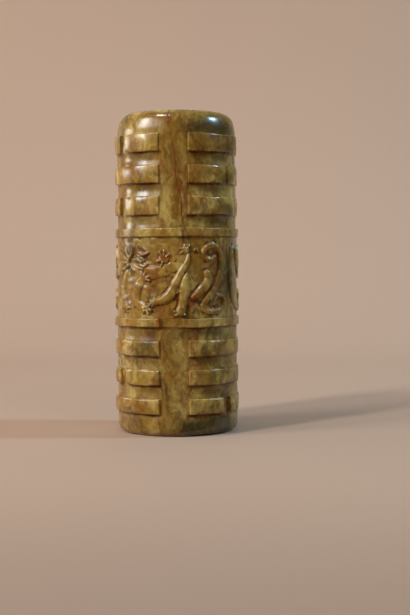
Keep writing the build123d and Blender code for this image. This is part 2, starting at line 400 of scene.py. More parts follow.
    def spots(self, places: Array, turn: Array, z: Array) -> Array:
        """A sum of Gaussian spots.

        Args:
            places: turn in degrees, height, half breadth and half height in mm, and strength of each.
            turn, z: where to work them out.

        Returns:
            The sum, held between 0 and 1.
        """
        total = np.zeros(np.broadcast(turn, z).shape)
        for degrees, height, breadth, reach, strength in places:
            side = nearest_turn(turn, math.radians(degrees)) * self.form.foot_radius / (breadth * MM)
            rise = (z - height * MM) / (reach * MM)
            total += strength * np.exp(-(side**2) - rise**2)
        return np.clip(total, 0.0, 1.0)


def grid_quads(index: Array) -> Array:
    """The four corners of each cell of a grid of vertices, one cell a row."""
    corners = (index[:-1, :-1], index[:-1, 1:], index[1:, 1:], index[1:, :-1])
    return np.stack(corners, axis=-1).reshape(-1, 4)


def smooth_object(name: str, points: Array, quads: Array) -> bpy.types.Object:
    """A smooth mesh as an object of the scene.

    Args:
        name: its name.
        points: the vertices, one a row.
        quads: the faces, as rows of four vertices.

    Returns:
        The object.
    """
    mesh = bpy.data.meshes.new(name)
    mesh.from_pydata(points, [], quads)
    mesh.polygons.foreach_set("use_smooth", np.ones(len(quads), dtype=bool))
    made = bpy.data.objects.new(name, mesh)
    bpy.context.scene.collection.objects.link(made)
    return made


@dataclass
class Carving:
    """A group of carved pieces with one finish."""

    form: TubeForm
    flaws: Flaws
    slot: Slot

    def marks(self, turn: Array, z: Array, crevice: Array) -> dict[str, Array]:
        """The marks that every carved surface carries.

        Args:
            turn, z: places on the tube.
            crevice: the dirt in recesses and the painted shade where shade falls, from 0 to 1.

        Returns:
            The values by attribute name.
        """
        turn, z, crevice = np.broadcast_arrays(turn, z, crevice)
        crack, rust = self.flaws.crack(turn, z)
        rust = np.maximum(rust, self.flaws.stain(turn, z))
        marks = {"crevice": crevice, "crack": crack, "rust": rust, "cloud": self.flaws.cloud(turn, z)}
        return {mark: values.ravel() for mark, values in marks.items()}

    def piece(self, node: str, points: Array, quads: Array, marks: dict[str, Array]) -> bpy.types.Object:
        """A closed mesh in the place of its node, with its faces outwards and its marks as attributes.

        Faces turn outwards when the sum of their area vectors times their middles, which goes with the volume
        that they hold, comes out above 0.

        Args:
            node: the node that it replaces.
            points: the vertices, one a row.
            quads: the faces, as rows of four vertices.
            marks: values at the vertices, by attribute name.

        Returns:
            The piece's object.
        """
        corners = points[quads]
        fan = np.cross(corners[:, 1] - corners[:, 0], corners[:, 2] - corners[:, 0])
        fan += np.cross(corners[:, 2] - corners[:, 0], corners[:, 3] - corners[:, 0])
        if np.einsum("ij,ij->", fan, corners.mean(axis=1)) < 0:
            quads = quads[:, ::-1]
        piece = smooth_object(f"worked_{node}", points, quads)
        for mark, values in marks.items():
            attribute = piece.data.attributes.new(mark, "FLOAT", "POINT")
            attribute.data.foreach_set("value", values.astype(np.float32))
        piece.data.update()
        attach(piece, BODY)
        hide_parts(node)
        LOG.info("%s: %d faces", piece.name, len(piece.data.polygons))
        return piece

    def ring(self, node: str, turn: Array, z: Array, proud: Array, crevice: Array) -> bpy.types.Object:
        """A piece whose section is a closed loop, carried once round the tube.

        Args:
            node: the node that it replaces.
            turn, z, proud: the grid, with the section down the rows and the turn along the columns.
            crevice: how much dirt and painted shade each place carries.

        Returns:
            The piece.
        """
        points = self.form.place(turn, z, proud)
        index = np.arange(points[..., 0].size).reshape(points.shape[:2])
        quads = grid_quads(np.pad(index, ((0, 1), (0, 1)), mode="wrap"))
        return self.piece(node, points.reshape(-1, 3), quads, self.marks(turn, z, crevice))

    def pillow(self, node: str, turn: Array, z: Array, proud: Array, crevice: Array) -> bpy.types.Object:
        """A piece with an outer face and a sunk back that share their border.

        Args:
            node: the node that it replaces.
            turn, z, proud: the grid of the outer face, whose border is sunk into the ground.
            crevice: how much dirt and painted shade each place carries.

        Returns:
            The piece.
        """
        outer = self.form.place(turn, z, proud)
        back = self.form.place(turn, z, -self.form.sunk)[1:-1, 1:-1]
        outer_count, back_count = outer[..., 0].size, back[..., 0].size
        outer_index = np.arange(outer_count).reshape(outer.shape[:2])
        back_index = outer_index.copy()
        back_index[1:-1, 1:-1] = outer_count + np.arange(back_count).reshape(back.shape[:2])
        facing_in = [0, 3, 2, 1]
        quads = np.concatenate((grid_quads(outer_index), grid_quads(back_index)[:, facing_in]))
        points = np.concatenate((outer.reshape(-1, 3), back.reshape(-1, 3)))
        marks = self.marks(turn, z, crevice)
        marks = {mark: np.append(values, np.zeros(back_count)) for mark, values in marks.items()}
        return self.piece(node, points, quads, marks)

    def dress(self, pieces: list[bpy.types.Object], material: bpy.types.Material) -> None:
        """Gives every piece its finish."""
        for piece in pieces:
            piece.data.materials.append(material)


@dataclass(frozen=True)
class Edge:
    """The form of a raised edge: the radius of its rounding and how far its side leans in."""

    rounding: float
    draft: float
    side_shares: tuple[float, ...] = (0.0, 0.35, 0.7)
    round_steps: int = 7

    def section(self, proud: float, sunk: float) -> tuple[Array, Array]:
        """The section of the edge: a leaning side that turns into a quarter round.

        Args:
            proud: the height of the crown.
            sunk: how far below the ground the side starts.

        Returns:
            How far each step lies in from the outline, and its height, from the sunk border to the crown.
        """
        arc = np.linspace(0, np.pi / 2, self.round_steps)
        side = np.array(self.side_shares)
        foot = proud - self.rounding
        inset = np.concatenate((self.draft * side, self.draft + self.rounding * (1 - np.cos(arc))))
        height = np.concatenate((-sunk + (foot + sunk) * side, foot + self.rounding * np.sin(arc)))
        return inset, height


@dataclass(frozen=True)
class Columns:
    """The columns of a ring, closest at the front channel and close at the other three."""

    fine: float
    coarse: float
    count: int = 420
    front_reach: float = 0.55
    side_share: float = 0.2
    samples: int = 4001

    def turns(self, form: TubeForm) -> Array:
        """Turns that share out the running sum of a density.

        The density is one over the coarse step, raised by a bell to one over the fine step at the front, and
        by a share of that at the other channels.

        Args:
            form: the shared sizes.

        Returns:
            The turns as one row, in radians, from 0 to just under one revolution.
        """
        turn = np.linspace(0, 2 * np.pi, self.samples)
        reach = form.channel_width / form.foot_radius
        front = bell(nearest_turn(turn, 0.0), self.front_reach * reach, power=4)
        channels = bell(nearest_turn(4 * turn, 0.0), 4 * reach, power=4)
        raised = np.maximum(front, self.side_share * channels)
        density = 1 / self.coarse + (1 / self.fine - 1 / self.coarse) * raised
        share = np.concatenate(([0.0], np.cumsum((density[1:] + density[:-1]) / 2)))
        return np.interp(np.linspace(0, share[-1], self.count, endpoint=False), share, turn)[None, :]


@dataclass
class TubeWall(Carving):
    """The bored tube, its rounded rims and the grooves between the bars."""

    bars: list[Bar]
    columns: Columns = Columns(fine=0.1 * MM, coarse=1.2 * MM)
    shoulder_radius: float = 24.1 * MM
    shoulder_tilt: float = math.radians(16.0)
    shoulder_steps: int = 8
    rim_radius: float = 6.0 * MM
    rim_steps: int = 12
    foot_rounding: float = 3.8 * MM
    mouth_rounding: float = 1.0 * MM
    round_steps: int = 11
    wall_step: float = 0.85 * MM
    bore_steps: int = 14
    groove_fade: tuple[float, float] = (-0.6 * MM, 0.9 * MM)
    row_digits: int = 5
    waist_least: float = 20.0 * MM
    foot_neck: float = 0.40 * MM
    top_neck: float = 0.15 * MM
    neck_reach: float = 1.9 * MM
    slow_wear: HandCut = HandCut(11, 26 * MM, 0.07 * MM)
    quick_wear: HandCut = HandCut(12, 7 * MM, 0.04 * MM)
    collar_low: float = 134.0 * MM
    collar_fade: float = 4.0 * MM
    collar_wear: float = 0.25
    crack_depth: float = 0.06 * MM
    rust_depth: float = 0.03 * MM
    # Dirt and painted shade by the outlines of the raised pieces: a little beside them, and more under them,
    # where their shade falls on the ground.
    dirt_patches: HandCut = HandCut(13, 7 * MM, 0.28)
    beside_dirt: float = 0.30
    beside_reach: float = 0.6 * MM
    hidden_reach: float = 2.0 * MM
    under_dirt: float = 0.9
    under_reach: float = 1.44 * MM

    def section(self) -> tuple[Array, Array, Array]:
        """The closed section of the wall: a round foot, a straight run, a shoulder, a rim and the bore.

        The shoulder is a wide arc that leans in to its tilt, and the rim is a tighter arc that goes on from
        there. Quarter rounds lead into both mouths of the bore.

        Returns:
            Radius and height of each step, and 1 on the outer face but 0 on the lands and in the bore.
        """
        form, tilt = self.form, self.shoulder_tilt
        foot, mouth = self.foot_rounding, self.mouth_rounding
        arc = np.linspace(0, np.pi / 2, self.round_steps)
        sine, cosine = np.sin(arc), np.cos(arc)
        mouth_sine, mouth_cosine = mouth * sine[::2], mouth * cosine[::2]
        shoulder = np.linspace(0.0, tilt, self.shoulder_steps, endpoint=False)
        lean = np.concatenate((shoulder, np.linspace(tilt, np.pi / 2, self.rim_steps)))
        wide, tight = np.minimum(lean, tilt), np.maximum(lean, tilt)
        inwards = self.shoulder_radius * (1 - np.cos(wide))
        inwards += self.rim_radius * (math.cos(tilt) - np.cos(tight))
        upwards = self.shoulder_radius * np.sin(wide)
        upwards += self.rim_radius * (np.sin(tight) - math.sin(tilt))
        high = form.height - upwards[-1]
        wall_z = np.linspace(foot, high, int((high - foot) / self.wall_step))[1:-1]
        bore_z = np.linspace(form.height - mouth, mouth, self.bore_steps)[1:-1]
        steps = (
            (form.ground(0.0) - foot + foot * sine, foot - foot * cosine),
            (form.ground(wall_z), wall_z),
            (form.ground(high) - inwards, high + upwards),
            (form.bore_radius + mouth - mouth_sine, form.height - mouth + mouth_cosine),
            (np.full(len(bore_z), form.bore_radius), bore_z),
            (form.bore_radius + mouth - mouth_cosine, mouth - mouth_sine),
        )
        radius, z = (np.concatenate(values) for values in zip(*steps))
        outer = np.arange(len(z)) < len(arc) + len(wall_z) + len(lean)
        return radius, z, outer.astype(float)

    def outline_distance(self, turn: Array, z: Array) -> tuple[Array, Array]:
        """Distance to the nearest outline of a bar or a band.

        Args:
            turn, z: places on the ground.

        Returns:
            The distance, below 0 under a raised piece, and the same counting only pieces above the place.
        """
        ground = self.form.ground(z)
        outlines = [(bar.low, bar.outline(turn, z, ground)) for bar in self.bars]
        outlines += [(low, np.maximum(z - high, low - z)) for low, high in map(heights, BANDS)]
        far = 1.0
        distance = np.full(np.broadcast(turn, z).shape, far)
        under = distance
        for low, outline in outlines:
            distance = np.minimum(distance, outline)
            under = np.minimum(under, np.where(z < low, outline, far))
        return distance, under

    def groove(self, turn: Array, z: Array) -> Array:
        """How far the ground is cut down between the bars, and in the necks next to the rims.

        Over the share s of the height between two outlines, a groove is 4 s (1 - s) of its depth deep. A neck
        falls off as a Gaussian from the outline of its row. Both end with the bars.

        Args:
            turn, z: places on the ground.

        Returns:
            The depth of the cut.
        """
        form = self.form
        side = np.abs(nearest_turn(4 * turn, np.pi) / 4)
        between = smooth_step((form.half_bar() - side) * form.ground(z), *self.groove_fade)
        raised = {(round(bar.low, self.row_digits), round(bar.high, self.row_digits)) for bar in self.bars}
        raised = sorted(raised | {heights(band) for band in BANDS})
        depth = np.zeros_like(z)
        for (_, low), (high, _) in zip(raised[:-1], raised[1:]):
            share = np.clip((z - low) / (high - low), 0.0, 1.0)
            if high - low < self.waist_least:
                depth = depth + form.groove_depth * 4 * share * (1 - share)
        for away, neck in ((raised[0][0] - z, self.foot_neck), (z - raised[-1][1], self.top_neck)):
            depth = depth + neck * bell(away, self.neck_reach) * (away > -MM)
        return depth * between

    def build(self) -> list[bpy.types.Object]:
        """The tube as a ring, uneven, cut in the grooves and along the crack, with dirt and painted shade at
        the outlines.

        Returns:
            The one piece.
        """
        radius, z, outer = (values[:, None] for values in self.section())
        turn = self.columns.turns(self.form)
        collar = smooth_step(z, self.collar_low, self.collar_low + self.collar_fade)
        uneven = self.slow_wear.over(turn, z) + self.quick_wear.over(turn, z)
        uneven = uneven * (1 - (1 - self.collar_wear) * collar)
        line, rust = self.flaws.crack(turn, z)
        cut = self.groove(turn, z) + self.crack_depth * line + self.rust_depth * rust
        proud = radius - self.form.ground(z) + outer * (uneven - cut)
        distance, under = self.outline_distance(turn, z)
        # Dirt and painted shade: a little beside every outline, more under the bars and bands, where their
        # shade falls.
        beside = self.beside_dirt * bell(distance, self.beside_reach) * (distance > -self.hidden_reach)
        dirt = np.maximum(beside, self.under_dirt * bell(under, self.under_reach))
        crevice = dirt * (1 + self.dirt_patches.over(turn, z))
        return [self.ring("tube_wall", turn, z, proud, crevice * outer)]


@dataclass
class PlainBands(Carving):
    """The two raised rings that frame the waist."""

    columns: Columns = Columns(fine=0.15 * MM, coarse=1.0 * MM)
    edge: Edge = Edge(rounding=0.45 * MM, draft=0.12 * MM)
    crown_steps: int = 7
    raised_part: float = 0.55 * MM
    raised_fade: tuple[float, float] = (-0.012, 0.016)
    worn_part: float = 0.85 * MM
    worn_reach: float = 0.20
    step_reach: float = 0.028
    # Painted shade beside the step of the lower band, and dirt with painted shade on the bands' sunk edges.
    step_dirt: float = 0.9
    edge_dirt: float = 0.7
    edge_dirt_fade: tuple[float, float] = (-0.5 * MM, -0.05 * MM)
    crack_depth: float = 0.14 * MM
    first_seed: int = 21
    wander_seed: int = 50

    def lift(self, turn: Array) -> Array:
        """How far the lower band stands prouder between two channels, less its wear in the front one.

        Args:
            turn: places round the tube.

        Returns:
            The lift at each place.
        """
        away = np.abs(nearest_turn(turn, Sector.FRONT_LEFT.middle))
        proud = self.raised_part * smooth_step(self.form.half_bar() - away, *self.raised_fade)
        return proud - self.worn_part * bell(nearest_turn(turn, 0.0), self.worn_reach, power=4)

    def step_shade(self, turn: Array) -> Array:
        """Painted shade by the end of the lower band's prouder part, a Gaussian over the turn."""
        end = Sector.FRONT_LEFT.middle + self.form.half_bar() + self.step_reach
        return self.step_dirt * bell(nearest_turn(turn, end), self.step_reach)

    def build(self) -> list[bpy.types.Object]:
        """Both bands: a raised edge, a nearly flat crown, the other edge and a sunk back.

        Returns:
            The two pieces.
        """
        pieces = []
        top = self.form.band_proud
        turn = self.columns.turns(self.form)
        inset, rise = self.edge.section(top, self.form.sunk)
        for seed, node in enumerate(BANDS, start=self.first_seed):
            low, high = heights(node)
            crown = np.linspace(low + inset[-1], high - inset[-1], self.crown_steps)[1:-1]
            z = np.concatenate((low + inset, crown, high - inset[::-1]))[:, None]
            proud = np.concatenate((rise, np.full(len(crown), rise[-1]), rise[::-1]))[:, None]
            uneven = HandCut(seed, 18 * MM, 0.06 * MM).over(turn, z)
            wander = HandCut(seed + self.wander_seed, 22 * MM, 0.10 * MM).over(turn, np.zeros_like(z))
            # Dirt and painted shade on the sunk edges, and painted shade by the lower band's step.
            crevice = self.edge_dirt * smooth_step(-proud, *self.edge_dirt_fade)
            if node == "lower_band":
                uneven = uneven + self.lift(turn)
                crevice = np.maximum(crevice, self.step_shade(turn))
            line, _ = self.flaws.crack(turn, z)
            share = np.clip(proud / top, 0.0, 1.0)
            proud = proud + share * (uneven - self.crack_depth * line)
            pieces.append(self.ring(node, turn, z + wander, proud, crevice))
        return pieces


@dataclass
class RaisedBars(Carving):
    """The rows of bars that stand on both ends of the tube."""

    bars: list[Bar]
    level_edge: Edge = Edge(rounding=0.55 * MM, draft=0.16 * MM)
    crisp_end: Edge = Edge(rounding=0.5 * MM, draft=0.3 * MM)
    soft_end: Edge = Edge(rounding=0.5 * MM, draft=0.45 * MM)
    crown: float = 0.26 * MM
    crown_power: float = 2.5
    upper_taper: float = 0.5
    lower_taper: float = 0.2
    taper_reach: float = 7.0 * MM
    corner: float = 0.8 * MM
    lean: float = 0.012
    slope: float = 0.004
    length_step: float = 0.58 * MM
    height_steps: int = 12
    chip_count: int = 4
    chip_place: float = 0.95
    chip_breadth: tuple[float, float] = (0.4 * MM, 1.3 * MM)
    chip_height: float = 0.6
    chip_depth: tuple[float, float] = (0.08 * MM, 0.30 * MM)
    # Dirt and painted shade on the bars' sunk edges, more on the lower edge, where the bar shades itself from
    # the light above.
    edge_dirt: float = 0.2
    under_dirt: float = 0.5
    dirt_fade: tuple[float, float] = (-0.6 * MM, -0.1 * MM)
    first_seed: int = 100
    wander_seed: int = 300
    patch_seed: int = 600

    def span(self, length: float, steps: int, first: Edge, last: Edge) -> tuple[Array, Array]:
        """Steps across a bar from one sunk border to the other.

        Args:
            length: the bar's length or height.
            steps: how many steps its crown has.
            first, last: the forms of its two edges.

        Returns:
            How far each step lies from the first border, and the height there.
        """
        inset, rise = first.section(self.form.bar_proud, self.form.sunk)
        far_inset, far_rise = last.section(self.form.bar_proud, self.form.sunk)
        crown = np.linspace(inset[-1], length - far_inset[-1], steps)[1:-1]
        place = np.concatenate((inset, crown, length - far_inset[::-1]))
        return place, np.concatenate((rise, np.full(len(crown), rise[-1]), far_rise[::-1]))

    def chips(self, side: Array, up: Array, size: tuple[float, float], seed: int) -> Array:
        """Small knocks on the edges of a bar, as Gaussian dents.

        Args:
            side, up: places from the middle of the bar.
            size: half its length and half its height.
            seed: the bar's own number.

        Returns:
            The depth of the dents.
        """
        draw = np.random.default_rng(seed)
        dents = np.zeros(np.broadcast(side, up).shape)
        for _ in range(self.chip_count):
            middle = draw.uniform(-self.chip_place, self.chip_place) * size[0]
            edge = draw.choice((-1.0, 1.0)) * size[1]
            breadth = draw.uniform(*self.chip_breadth)
            depth = draw.uniform(*self.chip_depth)
            dents += depth * bell(side - middle, breadth) * bell(up - edge, self.chip_height * breadth)
        return dents

    def taper(self, bar: Bar) -> float:
        """The share of its height that a bar loses at its last end.

        Args:
            bar: the bar.

        Returns:
            The share, which is 0 but for the front left bars that die into the front channel.
        """
        if Sector.FRONT_LEFT.suffix not in bar.node or bar.node.endswith("_short"):
            return 0.0
        return self.upper_taper if bar.node.startswith("upper") else self.lower_taper

    def shape(self, bar: Bar, seed: int) -> bpy.types.Object:
        """One bar: the lower of two raised sections at each place, with rounded corners in plan.

        Args:
            bar: its heights and turns.
            seed: its own number.

        Returns:
            The piece.
        """
        form = self.form
        middle_z = (bar.low + bar.high) / 2
        radius = form.ground(middle_z) + form.bar_proud
        half_length, half_height = bar.half_turn * radius, (bar.high - bar.low) / 2
        steps = int(2 * half_length / self.length_step)
        along, along_rise = self.span(2 * half_length, steps, self.crisp_end, self.soft_end)
        up, up_rise = self.span(2 * half_height, self.height_steps, self.level_edge, self.level_edge)
        side, up = (along - half_length)[None, :], (up - half_height)[:, None]
        proud = np.minimum(along_rise[None, :], up_rise[:, None])
        past = np.clip(np.abs(side) - (half_length - self.corner), 0.0, self.corner)
        pulled = (half_height - self.corner + np.sqrt(self.corner**2 - past**2)) / half_height
        draw = np.random.default_rng(seed)
        lean, slope = draw.normal(0.0, self.lean), draw.normal(0.0, self.slope)
        turn = bar.middle + (side + lean * up) / radius
        wander = HandCut(seed + self.wander_seed, 16 * MM, 0.09 * MM).over(turn, np.zeros_like(up))
        z = middle_z + up * pulled + slope * side + wander * up / half_height
        lost = self.taper(bar) * smooth_step(side, half_length - self.taper_reach, half_length)
        worn = self.crown * np.abs(up / half_height) ** self.crown_power + lost * form.bar_proud
        uneven = HandCut(seed, 9 * MM, 0.06 * MM).over(turn, z) - worn
        cut = self.chips(side, up, (half_length, half_height), seed)
        share = np.clip(proud / form.bar_proud, 0.0, 1.0)
        patchy = 1 + HandCut(seed + self.patch_seed, 6 * MM, 0.3).over(turn, z)
        # Dirt and painted shade on the sunk edges, heavier under the bar, where its shade falls.
        dirt = smooth_step(-proud, *self.dirt_fade) * (self.edge_dirt + self.under_dirt * (up < 0))
        return self.pillow(bar.node, turn, z, proud + share * (uneven - cut), dirt * patchy)

    def build(self) -> list[bpy.types.Object]:
        """Every bar of every row."""
        return [self.shape(bar, seed) for seed, bar in enumerate(self.bars, start=self.first_seed)]


@dataclass(frozen=True)
class DragonDrawing:
    """A dragon and the cloud and pearl before it, as tapering strokes on a flat panel.

    Places are millimetres right of the front channel and up from the lower band, and the third number of a
    point is the half width of the stroke there.
    """

    body_relief: float = 0.6
    limb_relief: float = 1.3
    face_relief: float = 1.0
    toe_relief: float = 1.15
    palm_relief: float = 0.92
    palm_stretch: float = 0.25
    cloud_relief: float = 1.0
    toe_half_width: float = 0.55
    dip_depth: float = 0.06
    dip_reach: float = 0.7
    dip_limit: float = 0.05
    steps: int = 7
    far: float = 99.0

    def body(self) -> list[Stroke]:
        """The torso."""
        return [
            [(-18.5, 22.5, 2.2), (-12.0, 20.8, 3.0), (-5.5, 21.6, 2.9), (0.0, 23.2, 2.3), (5.3, 23.6, 1.4)],
        ]

    def limbs(self) -> list[tuple[float, Stroke]]:
        """Legs, haunch and tail, each with its share of the limbs' relief."""
        return [
            (1.05, [
                (4.6, 23.4, 1.3), (2.8, 20.1, 1.5), (0.6, 15.6, 1.8),
                (-1.7, 10.9, 2.2), (-5.4, 8.2, 2.0), (-9.0, 7.3, 1.6),
            ]),
            (0.75, [(3.9, 22.6, 1.3), (5.4, 24.2, 1.3), (6.3, 26.4, 1.0), (6.7, 28.8, 0.7)]),
            (0.95, [
                (5.8, 20.2, 0.6), (5.0, 16.6, 1.9), (4.8, 12.8, 2.4),
                (4.3, 9.1, 2.1), (3.9, 6.0, 1.9), (3.0, 2.9, 2.0),
            ]),
            (1.05, [
                (9.0, 9.5, 1.5), (12.4, 12.2, 1.9), (15.3, 15.0, 2.1), (16.7, 18.0, 2.0), (15.8, 20.4, 1.6),
            ]),
            (1.05, [
                (20.2, 28.2, 0.6), (17.6, 26.6, 0.9), (14.9, 27.6, 1.0), (14.1, 30.0, 1.1), (15.6, 32.3, 1.1),
                (18.8, 33.2, 1.2), (22.1, 31.7, 1.3), (24.0, 28.4, 1.5), (24.5, 24.6, 1.6), (23.8, 20.5, 1.6),
                (21.8, 16.4, 1.6), (18.7, 12.4, 1.5), (15.4, 8.6, 1.4), (13.7, 5.6, 1.3), (15.3, 3.3, 1.2),
                (19.2, 2.7, 1.2), (23.4, 4.2, 1.2), (25.6, 7.1, 1.1), (24.2, 9.6, 1.0), (21.4, 9.9, 0.9),
                (19.7, 8.2, 0.6),
            ]),
            (0.45, [
                (-15.4, 18.0, 1.8), (-18.4, 14.6, 2.4), (-19.4, 10.8, 2.4), (-19.0, 7.2, 2.0),
                (-15.6, 5.2, 1.8),
            ]),
            (0.35, [(-26.2, 21.2, 1.4), (-28.6, 16.6, 2.3), (-29.0, 11.6, 2.5), (-27.4, 6.6, 1.9)]),
        ]

    def face(self) -> list[Stroke]:
        """Skull, brow, snout, jaw and cheek of the head, and the small curls beside the legs."""
        return [
            [(-20.8, 26.4, 1.1), (-18.4, 26.6, 1.5), (-16.4, 25.6, 1.2)],
            [(-17.6, 27.6, 0.5), (-15.6, 27.3, 0.7), (-14.2, 26.2, 0.5)],
            [(-16.6, 24.2, 0.8), (-14.4, 23.6, 0.9), (-12.9, 24.4, 0.6)],
            [(-19.6, 24.0, 0.6), (-17.4, 22.8, 0.7), (-15.2, 22.4, 0.5)],
            [(-22.4, 24.8, 0.6), (-21.4, 23.0, 0.8), (-20.2, 21.4, 0.5)],
            [(0.5, 12.0, 0.4), (1.3, 11.5, 0.5), (2.1, 12.4, 0.5), (1.5, 13.5, 0.5), (0.6, 13.2, 0.4)],
            [(9.4, 30.8, 0.5), (10.4, 31.3, 0.7), (11.2, 30.4, 0.5)],
        ]

    def tufts(self) -> list[Stroke]:
        """Horn, brow and the locks of the mane."""
        return [
            [(-18.4, 33.2, 0.5), (-17.2, 30.2, 0.9), (-15.2, 28.9, 0.9), (-12.5, 29.8, 0.5)],
            [(-22.6, 28.2, 0.7), (-21.6, 30.0, 0.8), (-21.8, 32.2, 0.4)],
            [(-23.4, 27.2, 1.0), (-25.0, 29.6, 0.9), (-26.4, 32.6, 0.5)],
            [(-24.4, 26.6, 1.0), (-28.2, 28.6, 0.9), (-31.8, 31.2, 0.5)],
            [(-24.6, 25.4, 1.0), (-28.6, 25.4, 0.9), (-32.8, 26.6, 0.5)],
            [(-24.0, 24.2, 1.0), (-27.2, 22.8, 0.9), (-30.8, 22.2, 0.5)],
        ]

    def clouds(self) -> list[Stroke]:
        """The cloud's stem, and the pearl with its flames and wisp."""
        return [
            [
                (-56.2, 33.4, 0.7), (-58.2, 28.6, 1.6), (-59.0, 21.6, 1.9), (-58.8, 14.4, 1.9),
                (-56.8, 8.6, 1.8), (-53.0, 4.8, 1.6), (-48.0, 3.6, 1.4), (-43.8, 5.6, 1.4),
                (-42.4, 9.4, 1.2), (-44.6, 12.2, 1.0), (-47.4, 11.2, 0.7),
            ],
            [(-46.9, 21.8, 3.3), (-46.1, 21.8, 3.3)],
            [(-49.2, 23.6, 1.2), (-52.2, 26.8, 1.1), (-53.4, 31.6, 0.5)],
            [(-46.8, 24.8, 1.2), (-48.0, 29.0, 1.0), (-46.6, 33.4, 0.5)],
            [(-44.0, 23.6, 1.2), (-41.6, 27.2, 1.0), (-42.0, 31.8, 0.5)],
            [(-43.8, 20.4, 1.0), (-40.0, 18.4, 1.0), (-36.2, 19.4, 0.5)],
        ]

    def paws(self) -> list[tuple[tuple[float, float], float, list[tuple[float, float]]]]:
        """Middle, palm radius and toe tips of every paw."""
        return [
            ((-4.5, 27.0), 2.1, [(-7.6, 25.8), (-5.8, 23.9), (-6.7, 29.9), (-4.4, 30.4), (-2.2, 29.0)]),
            ((5.2, 30.9), 1.6, [(3.2, 29.6), (3.0, 31.8), (4.8, 33.2), (7.0, 32.8)]),
            ((-14.6, 18.4), 1.9, [(-16.4, 20.8), (-13.6, 20.6), (-12.0, 18.9), (-11.6, 17.0)]),
            ((-13.6, 4.6), 1.8, [(-15.0, 2.2), (-12.4, 2.0), (-10.9, 3.6), (-11.2, 5.8)]),
            ((-26.6, 5.4), 1.9, [(-29.2, 4.2), (-27.6, 2.4), (-25.0, 2.4), (-23.8, 4.4)]),
            ((-9.2, 7.2), 1.6, [(-11.3, 7.9), (-11.4, 6.4), (-10.2, 5.2)]),
            ((2.6, 2.7), 1.6, [(0.2, 3.0), (0.9, 1.3), (4.9, 1.4)]),
        ]

    def spline(self, stroke: Stroke) -> Array:
        """A stroke's points on a smooth line through them.

        Each stretch is the cubic whose slopes are half the step between the neighbours of its ends.

        Args:
            stroke: its points.

        Returns:
            The points on the line, with their half widths.
        """
        knots = np.array(stroke)
        if len(knots) == 2:
            return knots
        slopes = np.gradient(knots, axis=0)
        share = np.linspace(0, 1, self.steps, endpoint=False)[None, :, None]
        first, second = knots[:-1, None, :], knots[1:, None, :]
        leave, arrive = slopes[:-1, None, :], slopes[1:, None, :]
        cubic = (
            (2 * share**3 - 3 * share**2 + 1) * first
            + (share**3 - 2 * share**2 + share) * leave
            + (3 * share**2 - 2 * share**3) * second
            + (share**3 - share**2) * arrive
        )
        return np.concatenate((cubic.reshape(-1, 3), knots[-1:]))

    def reach(self, right: Array, up: Array, stroke: Stroke) -> tuple[Array, Array]:
        """How far places lie from a stroke's middle line.

        Args:
            right, up: places on the panel.
            stroke: its points.

        Returns:
            The distance as a share of the half width there, and the distance outside the stroke.
        """
        line = self.spline(stroke)
        share = np.full(right.shape, self.far)
        outside = share
        for (x0, y0, w0), (x1, y1, w1) in zip(line[:-1], line[1:]):
            step_x, step_y = x1 - x0, y1 - y0
            along = ((right - x0) * step_x + (up - y0) * step_y) / (step_x**2 + step_y**2)
            along = np.clip(along, 0.0, 1.0)
            away = np.hypot(right - x0 - along * step_x, up - y0 - along * step_y)
            width = w0 + along * (w1 - w0)
            share = np.minimum(share, away / width)
            outside = np.minimum(outside, away - width)
        return share, outside

    def strokes(self) -> list[tuple[float, Stroke]]:
        """Every stroke: body, limbs, face, tufts and clouds, and each paw as a palm and short toes above it.

        Returns:
            The relief and the points of each.
        """
        kinds = (
            (self.face_relief, self.face()),
            (self.toe_relief, self.tufts()),
            (self.cloud_relief, self.clouds()),
        )
        strokes = [(self.body_relief, stroke) for stroke in self.body()]
        strokes += [(self.limb_relief * share, stroke) for share, stroke in self.limbs()]
        strokes += [(relief, stroke) for relief, group in kinds for stroke in group]
        for (middle, rise), palm, toes in self.paws():
            stretch = self.palm_stretch * palm
            pad = [(middle - stretch, rise, palm), (middle + stretch, rise, palm)]
            strokes.append((self.palm_relief, pad))
            for tip_right, tip_up in toes:
                knuckle = ((middle + tip_right) / 2, (rise + tip_up) / 2, self.toe_half_width)
                strokes.append((self.toe_relief, [knuckle, (tip_right, tip_up, self.toe_half_width)]))
        return strokes

    def height(self, right: Array, up: Array) -> Array:
        """The relief on the panel: the highest stroke at each place, in a ground that dips beside them.

        A stroke's section is (1 - t^3)^0.5 over the share t of its half width, so its top is nearly flat and
        its shoulders are round. The dip falls off as a Gaussian.

        Args:
            right, up: places on the panel, in millimetres.

        Returns:
            The height over the ground, in millimetres.
        """
        relief = np.zeros(right.shape)
        outside = np.full(right.shape, self.far)
        for top, stroke in self.strokes():
            share, beside = self.reach(right, up, stroke)
            relief = np.maximum(relief, top * np.sqrt(np.clip(1 - share**3, 0.0, 1.0)))
            outside = np.minimum(outside, beside)
        dip = self.dip_depth * bell(np.maximum(outside, 0.0), self.dip_reach)
        return relief - dip * (relief < self.dip_limit)


